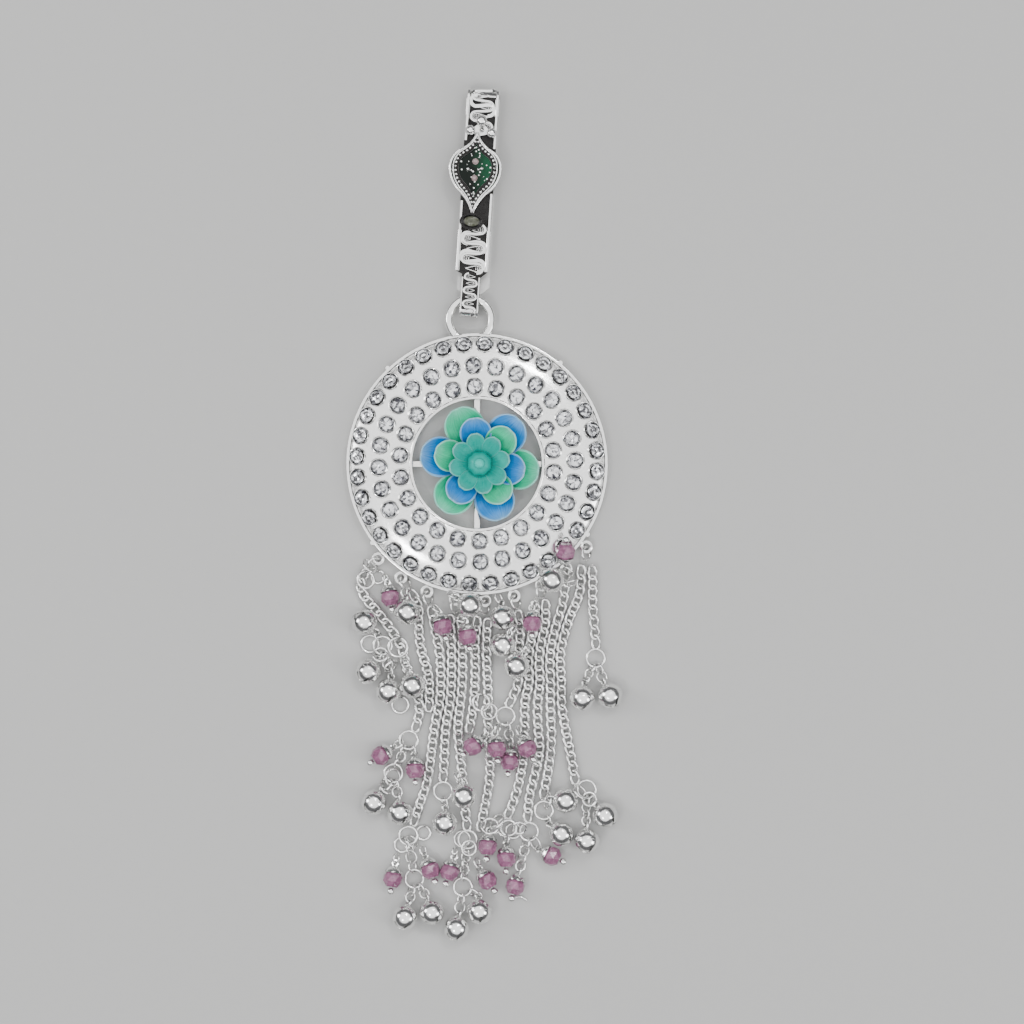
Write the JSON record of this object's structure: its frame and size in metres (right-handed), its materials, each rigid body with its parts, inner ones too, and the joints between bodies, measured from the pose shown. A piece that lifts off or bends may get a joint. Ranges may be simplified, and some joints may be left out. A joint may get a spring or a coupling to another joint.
{
  "type": "hair bun brooch",
  "caption": "Silver-plated hair bun brooch: spring clip with enamel plaque, jewelled round medallion with a resin flower, and a fringe of chains with bells and beads.",
  "frame": {"origin": "centre of the medallion on the flush back face of its hub, which lies on the resting plane", "axes": "+Y along the ornament towards the clip's bend, +X to the right seen from the front, +Z out of the ornament's front"},
  "size_m": [0.0634, 0.1951, 0.0097],
  "materials": {
    "silver_plate": "bright silver plating on cast and bent base metal, darker in the relief",
    "clear_crystal": "foil-backed cut glass stones",
    "pink_glass": "mauve-pink faceted glass beads",
    "green_enamel": "dark green transparent enamel over textured metal",
    "rose_stone": "small pinkish-grey cut stones",
    "olive_stone": "olive-grey polished stone",
    "petal_resin": "glossy cast resin painted green and blue, pale along the petal edges",
    "teal_resin": "glossy teal resin"
  },
  "bodies": {
    "medallion": {"medallion_frame": "silver_plate", "hanging_ring": "silver_plate", "flower_outer_petals": "petal_resin", "flower_middle_petals": "petal_resin", "flower_inner_cup": "teal_resin", "flower_centre": "teal_resin", "eyelet_rings": "silver_plate", "crystals_outer_row": "clear_crystal", "crystals_middle_row": "clear_crystal", "crystals_inner_row": "clear_crystal", "chain_01": "silver_plate", "chain_02": "silver_plate", "chain_03": "silver_plate", "chain_04": "silver_plate", "chain_05": "silver_plate", "chain_06": "silver_plate", "chain_07": "silver_plate", "chain_08": "silver_plate", "chain_09": "silver_plate", "chain_10": "silver_plate", "chain_11": "silver_plate", "chain_12": "silver_plate", "chain_13": "silver_plate", "bells_left": "silver_plate", "drop_rings_left": "silver_plate", "bells_middle": "silver_plate", "drop_rings_middle": "silver_plate", "bells_right": "silver_plate", "drop_rings_right": "silver_plate", "bells_lower_left": "silver_plate", "drop_rings_lower_left": "silver_plate", "bells_lower_middle": "silver_plate", "drop_rings_lower_middle": "silver_plate", "bells_lower_right": "silver_plate", "drop_rings_lower_right": "silver_plate", "beads_upper": "pink_glass", "bead_pins_upper": "silver_plate", "beads_middle": "pink_glass", "bead_pins_middle": "silver_plate", "beads_lower_left": "pink_glass", "bead_pins_lower_left": "silver_plate", "beads_lower_middle": "pink_glass", "bead_pins_lower_middle": "silver_plate", "beads_lower_right": "pink_glass", "bead_pins_lower_right": "silver_plate"},
    "clip": {"clip_strip": "silver_plate", "clip_plaque": "silver_plate", "plaque_enamel": "green_enamel", "plaque_stones": "rose_stone", "cabochon_stone": "olive_stone"}
  },
  "joints": [
    {"name": "clip_swing", "type": "hinge", "parent": "medallion", "child": "clip", "pos_m": [-0.0016, 0.03744, 0.00258], "axis": [0.9978, -0.0656, 0], "range_deg": [0, 140]}
  ]
}
